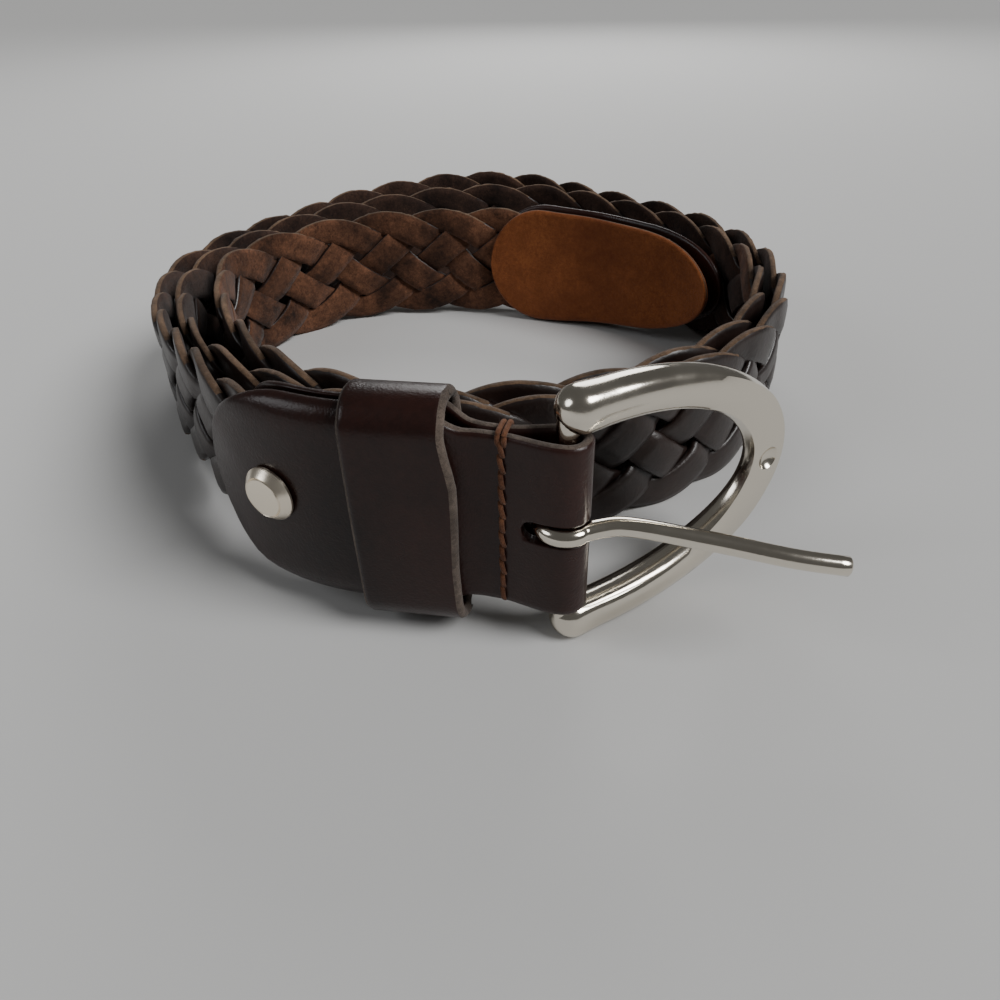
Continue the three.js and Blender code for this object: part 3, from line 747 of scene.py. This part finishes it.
def make_keeper():
    """Its outer wall from end to end and its inner wall back again, joined at both cut edges."""
    stack = BRAID_THICKNESS + 2 * (SEAT_GAP + LEATHER)
    back = -stack / 2 - 2 * SEAT_GAP
    front = stack / 2 + KEEPER_ROOM
    half = TAB_WIDTH / 2 + KEEPER_ROOM
    middle_run = KEEPER_DISTANCE + KEEPER_LENGTH / 2
    out, ahead = directions(middle_run)
    centre = line_points(middle_run)
    outer = round_box(back - KEEPER_WALL, front + KEEPER_WALL, half + KEEPER_WALL, KEEPER_CORNER)
    inner = round_box(back, front, half, KEEPER_CORNER - KEEPER_WALL)
    bevel = [0, BEVEL_LENGTH / 2, BEVEL_LENGTH]
    between = list(np.linspace(1.4, KEEPER_LENGTH - 1.4, 9))
    stations = bevel + between + [KEEPER_LENGTH - station for station in bevel[::-1]]
    rings = []
    for outline, grow, order in ((outer, -1, stations), (inner, 1, stations[::-1])):
        for station in order:
            near = min(station, KEEPER_LENGTH - station)
            thinner = grow * EDGE_BEVEL * max(1 - near / BEVEL_LENGTH, 0) ** 2
            ring = []
            for x, z in outline:
                bulge = KEEPER_BULGE * math.cos(math.pi * z / (2 * half)) if x > 0 else 0.0
                wave = np.interp(z / half, *zip(*KEEPER_WAVE)) * (1 if x > 0 else BACK_WAVE)
                off = x + thinner * np.sign(x - (back + front) / 2) + bulge
                up = z + thinner * np.sign(z) * (abs(z) > half - 1)
                share = 1 - station / KEEPER_LENGTH
                along = (station - KEEPER_LENGTH / 2) + wave * share + KEEPER_SKEW * z
                at = centre + out * off + ahead * along
                ring.append((*at, middle_height(middle_run) + up))
            rings.append(ring)
    around = len(outer)
    count = len(rings)
    faces = []
    for i in range(count):
        for k in range(around):
            a, b = i * around + k, i * around + (k + 1) % around
            c = ((i + 1) % count) * around
            faces.append((a, b, c + (k + 1) % around, c + k))
    points = np.array(rings).reshape(-1, 3)
    keeper = make_piece("keeper", points, faces, (SMOOTH_LEATHER, CUT_EDGE))
    far_end = len(stations)
    edge_rows = (0, 1, far_end - 2, far_end - 1, far_end, count - 3, count - 2, count - 1)
    numbers = [int(i in edge_rows) for i in range(count) for k in range(around)]
    keeper.data.polygons.foreach_set("material_index", numbers)
    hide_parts("keeper_loop")


make_keeper()


# The seam behind the fold

STITCHES = 11
SEAM_DISTANCE = 9
SEAM_MARGIN = 0.6       # between the seam's ends and the fold's edges
STITCH_REACH = 0.64     # half a stitch's length in pitches, so that stitches overlap
STITCH_SEED = 70        # of the first stitch's random draw
THREAD_WIDTH = 0.85
THREAD_SIDES = 10
KNOT_TURNS = (-0.45, 0.5)    # where the knot's two turns lie beside the seam

# A knot's turn over the seam's top: place across, where 1 is the tab's outer face, and rise over the edge
KNOT_PATH = [
    (0.85, -1.6), (1.08, -0.7), (0.9, 0.2), (0, 0.45), (-0.9, 0.2), (-1.08, -0.7), (-0.85, -1.6),
]


def through_points(points, steps):
    """A smooth line through points, by the centripetal rule."""
    points = [np.array(p, dtype=float) for p in points]
    ends = [2 * points[0] - points[1]] + points + [2 * points[-1] - points[-2]]
    line = []
    for i in range(1, len(ends) - 2):
        p0, p1, p2, p3 = ends[i - 1:i + 3]
        t0 = 0.0
        t1 = math.sqrt(np.linalg.norm(p1 - p0))
        t2 = t1 + math.sqrt(np.linalg.norm(p2 - p1))
        t3 = t2 + math.sqrt(np.linalg.norm(p3 - p2))
        for t in np.linspace(t1, t2, steps, endpoint=False):
            a1 = (t1 - t) / (t1 - t0) * p0 + (t - t0) / (t1 - t0) * p1
            a2 = (t2 - t) / (t2 - t1) * p1 + (t - t1) / (t2 - t1) * p2
            a3 = (t3 - t) / (t3 - t2) * p2 + (t - t2) / (t3 - t2) * p3
            b1 = (t2 - t) / (t2 - t0) * a1 + (t - t0) / (t2 - t0) * a2
            b2 = (t3 - t) / (t3 - t1) * a2 + (t - t1) / (t3 - t1) * a3
            line.append((t2 - t) / (t2 - t1) * b1 + (t - t1) / (t2 - t1) * b2)
    line.append(points[-1])
    return np.array(line)


def tube(line, radius, sides):
    """A round thread or rod along a line, with the points of its rings and its faces."""
    tangents = np.gradient(line, axis=0)
    tangents /= np.linalg.norm(tangents, axis=1, keepdims=True)
    points = []
    for centre, ahead in zip(line, tangents):
        spare = np.array([0, 0, 1.0]) if abs(ahead[2]) < 0.8 else np.array([1.0, 0, 0])
        side = np.cross(ahead, spare)
        side /= np.linalg.norm(side)
        points += circle(centre, side, np.cross(side, ahead), radius, sides)
    return points, ring_faces(len(line), sides)


def stitch_points(face, number, half, samples):
    """Rings along one slanting stitch, which dives into the leather at both ends."""
    pitch = 2 * half / STITCHES
    tilt = np.random.default_rng(STITCH_SEED + number).uniform(0.05, 0.4)
    points = []
    for share in samples:
        run = SEAM_DISTANCE + tilt * share
        out = outward(np.array(run)) * face
        surface = layer_offset(run) + LEATHER / 2
        z = middle_height(run) - half + (number + 0.5) * pitch + share * pitch * STITCH_REACH
        lift = THREAD_WIDTH * (0.42 - 0.75 * abs(share) ** 3)
        thick = THREAD_WIDTH / 2 * (1 - 0.3 * share ** 4)
        for k in range(THREAD_SIDES):
            turn = 2 * math.pi * k / THREAD_SIDES
            off = surface + lift + thick * 0.8 * math.sin(turn)
            at = line_points(run + thick * math.cos(turn)) + out * off
            points.append((*at, z))
    return points


def knot_line(run):
    out = outward(np.array(run))
    surface = layer_offset(run) + LEATHER / 2
    top = middle_height(run) + tab_half_width(run)
    path = [(*(line_points(run) + out * (surface * off)), top + rise) for off, rise in KNOT_PATH]
    return through_points(path, 5)


def make_seam():
    """Waxed stitches down the seam on both faces, and a knot over its upper end."""
    points, faces = [], []

    def add(more_points, more_faces):
        faces.extend(tuple(len(points) + v for v in corners) for corners in more_faces)
        points.extend(more_points)

    half = tab_half_width(SEAM_DISTANCE) - SEAM_MARGIN
    samples = np.linspace(-1, 1, 9)
    stitch_faces = ring_faces(len(samples), THREAD_SIDES)
    for face in (1, -1):
        for number in range(STITCHES):
            add(stitch_points(face, number, half, samples), stitch_faces)
    for shift in KNOT_TURNS:
        add(*tube(knot_line(SEAM_DISTANCE + shift), THREAD_WIDTH / 2, THREAD_SIDES))
    make_piece("seam", points, faces, (THREAD,))


make_seam()


# The free end's two tongues

TIP_LEATHER = 1.4
TIP_TAPER = 0.22        # share of its width that a tongue loses towards the free end
TIP_POINT = 1.45        # length of its free end's round, in half widths
TIP_RISE = 0.8          # how far the free end's middle stands higher than the belt's
TIP_ROWS = 17           # points across each face of a tongue


def make_tip(side, name, materials, replaced):
    """A tongue on the inner or outer side of the braid. Its materials are for its faces and edge."""
    half_runs = end_runs(TIP_LENGTH / 2, TIP_WIDTH / 2, 1.2)
    distances = half_runs + [TIP_LENGTH - distance for distance in half_runs[-2::-1]]
    rings = []
    for distance in distances:
        run = LENGTH - TIP_LENGTH + distance
        out = outward(np.array(run)) * side
        at = line_points(run) + out * (BRAID_THICKNESS / 2 + SEAT_GAP + TIP_LEATHER / 2)
        near = min(distance, TIP_LENGTH - distance)
        round_length = TIP_WIDTH / 2 * (1 if distance < TIP_LENGTH / 2 else TIP_POINT)
        towards_end = smooth(distance / TIP_LENGTH)
        half = TIP_WIDTH / 2 * round_share(near, round_length) * (1 - TIP_TAPER * towards_end)
        middle = middle_height(run) + TIP_RISE * towards_end
        rings.append(strip_section(at, out, middle, half, 0, TIP_LEATHER, TIP_ROWS))
    around = 2 * TIP_ROWS
    faces = ring_faces(len(rings), around)
    tip = make_piece(name, np.array(rings).reshape(-1, 3), faces, materials)
    numbers = [int(k % around in (TIP_ROWS - 1, around - 1)) for k in range(len(faces))]
    tip.data.polygons.foreach_set("material_index", numbers)
    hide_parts(replaced)


make_tip(-1, "tip_inside", (PATCH_SUEDE, THONG_EDGE), "tip_inner_piece")
make_tip(1, "tip_outside", (SMOOTH_LEATHER, SMOOTH_LEATHER), "tip_outer_piece")


# The metal

RIVET_DIAMETER = 9.4
RIVET_DISTANCE = 45.4
RIVET_RISE = 0.8        # how far it sits above the tab's middle
RIVET_HEIGHT = 2
RIVET_SIDES = 64
POST_RADIUS = 1.5
WASHER_HEIGHT = 0.8
BUCKLE_REACH = 43.8
BALL_AHEAD = 1.8
ARM_LENGTH = 6.8
ARM_DIAMETER = 6.8
BOW_WIDTH = 7.6
BOW_DEPTH = 4
BOW_TURN = 30
PRONG_TURN = -11.5
PRONG_DIAMETER = 3
PRONG_LENGTH = 41
PRONG_DIP = 2.6         # how far its tip comes down
HOOK_START = 150
HOOK_TURN = 180


AXIS = 0.01             # the radius that a revolved profile has on its axis


def make_rivet():
    """A cap with a bevelled rim and a flat top, its post, and the washer inside the belt."""
    seat = BRAID_THICKNESS / 2 + SEAT_GAP + LEATHER + SEAT_GAP / 2
    cap = RIVET_DIAMETER / 2
    top = seat + RIVET_HEIGHT
    washer = [(AXIS, -seat - WASHER_HEIGHT), (cap * 0.48, -seat - WASHER_HEIGHT),
              (cap * 0.55, -seat - 0.75 * WASHER_HEIGHT), (cap * 0.6, -seat)]
    post = [(POST_RADIUS, -seat), (POST_RADIUS, seat)]
    rim = [(cap - 0.25, seat), (cap, seat + 0.2), (cap, seat + 0.55), (cap - 0.14, seat + 0.78)]
    face = [(cap * 0.76, top - 0.16), (cap * 0.72, top - 0.3), (cap * 0.69, top - 0.06),
            (cap * 0.3, top), (AXIS, top + 0.02)]
    profile = washer + post + rim + face
    out, ahead = directions(RIVET_DISTANCE)
    plan = line_points(RIVET_DISTANCE)
    height = middle_height(RIVET_DISTANCE) + RIVET_RISE
    points = []
    for radius, off in profile:
        centre = np.array([*(plan + out * off), height])
        points += circle(centre, np.array([*ahead, 0]), np.array([0, 0, 1]), radius, RIVET_SIDES)
    faces = ring_faces(len(profile), RIVET_SIDES)
    rivet = make_piece("rivet_cap", points, faces, (BRIGHTENED_RIVET_METAL,))
    keep_sharp(rivet, 14)
    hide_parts("rivet")


def keep_sharp(piece, degrees):
    """Leaves the edges past an angle sharp between smooth faces."""
    piece.data.set_sharp_from_angle(angle=math.radians(degrees))


# The bow from its middle to a ball end: turns along its half ellipse, and how broad it is there
BOW_TURNS = (0, 6, 18, 30, 42, 54, 66, 78, 90)
BOW_BREADTHS = (1, 1, 0.95, 0.75, 0.45, 0.2, 0.06, 0, 0)
BOW_FLATNESS = 0.6      # how square its front is in section where it is broadest
ARM_FLATNESS = 0.15
BOW_SIDES = 28
BAR_SIDES = 20
BALL_TURNS = (88, 80, 70, 58, 45, 32, 18, 8, 0)
NECK_SHARES = (0.2, 0.4, 0.6, 0.8)
DIMPLE_RADIUS = 2.6
DIMPLE_DEPTH = 1.1
DIMPLE_DROP = 0.8       # how far it lies under the bar's middle
UP = np.array([0.0, 0.0, 1.0])
AHEAD = np.array([1.0, 0.0, 0.0])
BACK = np.array([0.0, 1.0, 0.0])


def bow_ring(x, z, across, half_width, half_depth, flat):
    """A section of the bow. Its front is flatter than its back, by the share flat."""
    ring = []
    for k in range(BOW_SIDES):
        turn = 2 * math.pi * (k + 0.5) / BOW_SIDES
        cosine, sine = math.cos(turn), math.sin(turn)
        squared = 1 - flat + flat / max(abs(cosine), abs(sine), 0.5) if sine < 0 else 1
        wide = np.clip(cosine * half_width * squared, -half_width, half_width)
        deep = np.clip(sine * half_depth * squared, -half_depth, half_depth)
        ring.append(AHEAD * x + UP * z + across * wide + BACK * deep)
    return ring


def half_bow(rise, reach):
    """Sections of the upper half: the ball end, the thick arm and the bow as far as its middle."""
    arm = ARM_DIAMETER / 2
    ball = BALL_DIAMETER / 2
    rings = []
    for turn in BALL_TURNS:
        size = ball * math.cos(math.radians(turn))
        x = BALL_AHEAD - ball * math.sin(math.radians(turn))
        rings.append(bow_ring(x, rise, UP, size, size, ARM_FLATNESS))
    for share in NECK_SHARES:
        size = ball + (arm - ball) * smooth(share)
        x = BALL_AHEAD + (ARM_LENGTH - BALL_AHEAD) * share
        rings.append(bow_ring(x, rise, UP, size, size, ARM_FLATNESS))
    for turn in np.arange(90, 0, -2.5):
        cosine, sine = math.cos(math.radians(turn)), math.sin(math.radians(turn))
        broad = np.interp(turn, BOW_TURNS, BOW_BREADTHS)
        across = np.array([rise * cosine, 0, reach * sine])
        across /= np.linalg.norm(across)
        wide = arm + (BOW_WIDTH / 2 - arm) * broad
        deep = arm + (BOW_DEPTH / 2 - arm) * broad
        flat = BOW_FLATNESS * min(broad + 0.25, 1)
        rings.append(bow_ring(ARM_LENGTH + reach * cosine, rise * sine, across, wide, deep, flat))
    return rings


def make_bow():
    rise = BUCKLE_HEIGHT / 2 - BALL_DIAMETER / 2
    reach = BUCKLE_REACH - BOW_WIDTH / 2 - ARM_LENGTH
    upper = half_bow(rise, reach)
    middle = bow_ring(ARM_LENGTH + reach, 0, AHEAD, BOW_WIDTH / 2, BOW_DEPTH / 2, BOW_FLATNESS)
    lower = [[point * (1, 1, -1) for point in ring] for ring in upper[::-1]]
    rings = upper + [middle] + lower
    points = [point for ring in rings for point in ring]
    faces = ring_faces(len(rings), BOW_SIDES)
    faces += [tuple(len(points) + v for v in corners) for corners in ring_faces(2, BAR_SIDES)]
    for z in (-rise, rise):
        points += circle(UP * z, AHEAD, BACK, BAR_DIAMETER / 2, BAR_SIDES)
    points = stand_on_bar(points, BOW_TURN, 0)
    bow = make_piece("bow", points, faces, (NICKEL,), body="bow")
    cut_out(bow, dimple_cutter())
    bow.data.materials.clear()
    bow.data.materials.append(NICKEL)
    bow.data.polygons.foreach_set("use_smooth", [True] * len(bow.data.polygons))
    keep_sharp(bow, 40)
    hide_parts("buckle_frame")


def stand_on_bar(points, turn, drop):
    """Turns points about the bar and sets them at its middle height, less a drop."""
    cosine, sine = math.cos(math.radians(turn)), math.sin(math.radians(turn))
    x, y, z = np.array(points).T
    return np.stack([x * cosine - y * sine + BAR[0], x * sine + y * cosine + BAR[1],
                     z + BUCKLE_HEIGHT / 2 - drop], axis=1)


def dimple_cutter():
    bpy.ops.mesh.primitive_uv_sphere_add(segments=32, ring_count=20, radius=DIMPLE_RADIUS * MM)
    cutter = bpy.context.object
    place = [[BUCKLE_REACH - BOW_WIDTH / 2, -BOW_DEPTH / 2 - DIMPLE_RADIUS + DIMPLE_DEPTH, 0]]
    cutter.location = Vector(stand_on_bar(place, BOW_TURN, DIMPLE_DROP)[0] * MM)
    return cutter


# The prong's line beyond its hook: how far along, as a share of its way to the tip, how far to its
# front in hook radii, and how far down as a share of PRONG_DIP
PRONG_LINE = [(0.05, 0.2, -0.1), (0.13, 0.02, -0.22), (0.48, 0.03, 0.21), (0.8, 0.16, 0.69), (1, 0, 1)]
PRONG_SIDES = 24
# The rounding of its ends: distance from the end in mm, and share of its radius there
ROD_END = [(0, 0.55), (0.12, 0.85), (0.35, 1)]


def make_prong():
    """A rod hooked round the bar, with rounded ends."""
    hook = BAR_DIAMETER / 2 + SEAT_GAP + PRONG_DIAMETER / 2
    turns = np.radians(np.linspace(HOOK_START, HOOK_START + HOOK_TURN, 10))
    path = [(hook * math.cos(turn), hook * math.sin(turn), 0) for turn in turns]
    path += [(hook + (PRONG_LENGTH - hook) * along, -hook * front, -PRONG_DIP * down)
             for along, front, down in PRONG_LINE]
    line = through_points(path, 8)
    tangents = np.gradient(line, axis=0)
    tangents /= np.linalg.norm(tangents, axis=1, keepdims=True)
    last = len(line) - 1
    sections = [(0, shift, size) for shift, size in ROD_END]
    sections += [(i, 0, 1) for i in range(2, last - 1)]
    sections += [(last, -shift, size) for shift, size in ROD_END[::-1]]
    points = []
    for index, shift, size in sections:
        along = tangents[index]
        side = np.cross(along, UP)
        side /= np.linalg.norm(side)
        centre = line[index] + along * shift
        points += circle(centre, side, np.cross(side, along), PRONG_DIAMETER / 2 * size, PRONG_SIDES)
    points = stand_on_bar(points, PRONG_TURN, -HOOK_RISE)
    faces = ring_faces(len(sections), PRONG_SIDES)
    prong = make_piece("prong_rod", points, faces, (NICKEL,), body="prong")
    keep_sharp(prong, 50)
    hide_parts("prong")


make_rivet()
make_bow()
make_prong()


# The floor, the light and the camera

FLOOR_REACH = 4000


def make_floor():
    corners = [(x * FLOOR_REACH, y * FLOOR_REACH, 0) for x, y in ((-1, -1), (1, -1), (1, 1), (-1, 1))]
    floor = add_mesh("floor", corners, [(0, 1, 2, 3)])
    material, g, shader = new_material("Pale floor")
    shader.inputs["Base Color"].default_value = (0.6, 0.598, 0.59, 1)
    shader.inputs["Roughness"].default_value = 0.9
    shader.inputs["Specular IOR Level"].default_value = 0.1
    floor.data.materials.append(material)


def add_light(name, place, aim, size, watts, color=(1, 1, 1)):
    """A round soft light, with its place, aim and size in metres."""
    light = bpy.data.lights.new(name, "AREA")
    light.shape = "DISK"
    light.size = size
    light.energy = watts
    light.color = color
    lamp = add_object(name, light)
    lamp.location = place
    lamp.rotation_euler = (Vector(aim) - Vector(place)).to_track_quat("-Z", "Y").to_euler()


def add_sun(name, place, strength, spread):
    """A distant light of even strength over the whole floor."""
    light = bpy.data.lights.new(name, "SUN")
    light.energy = strength
    light.angle = math.radians(spread)
    lamp = add_object(name, light)
    lamp.rotation_euler = (-Vector(place)).to_track_quat("-Z", "Y").to_euler()


def make_studio():
    world = bpy.data.worlds.new("studio")
    world.use_nodes = True
    world.node_tree.nodes["Background"].inputs[0].default_value = (0.9, 0.89, 0.87, 1)
    world.node_tree.nodes["Background"].inputs[1].default_value = 0.11
    bpy.context.scene.world = world
    add_sun("key", (0.95, -0.45, 1), 2.7, 30)
    add_light("window", (-0.7, -0.25, 0.5), (0, 0, 0.02), 0.4, 1.3, (0.95, 0.97, 1))
    add_light("back", (0.1, 0.7, 0.45), (0, 0, 0.02), 0.5, 2.5)


def make_camera():
    data = bpy.data.cameras.new("camera")
    data.sensor_width = 36
    data.lens = CAMERA_LENS
    data.clip_start = 0.005
    data.clip_end = 20
    camera = add_object("camera", data)
    place = Vector((CAMERA_AHEAD[0] + CENTRE[0], CAMERA_AHEAD[1] + CENTRE[1], CAMERA_AHEAD[2])) * MM
    look = math.radians(CAMERA_DOWN)
    roll = math.radians(CAMERA_ROLL)
    forward = Vector((0, math.cos(look), -math.sin(look)))
    down = Vector((0, -math.sin(look), -math.cos(look)))
    right = math.cos(roll) * Vector((1, 0, 0)) + math.sin(roll) * down
    up = right.cross(forward)
    camera.matrix_world = Matrix.Translation(place) @ Matrix((right, up, -forward)).transposed().to_4x4()
    bpy.context.scene.camera = camera


make_floor()
make_studio()
make_camera()
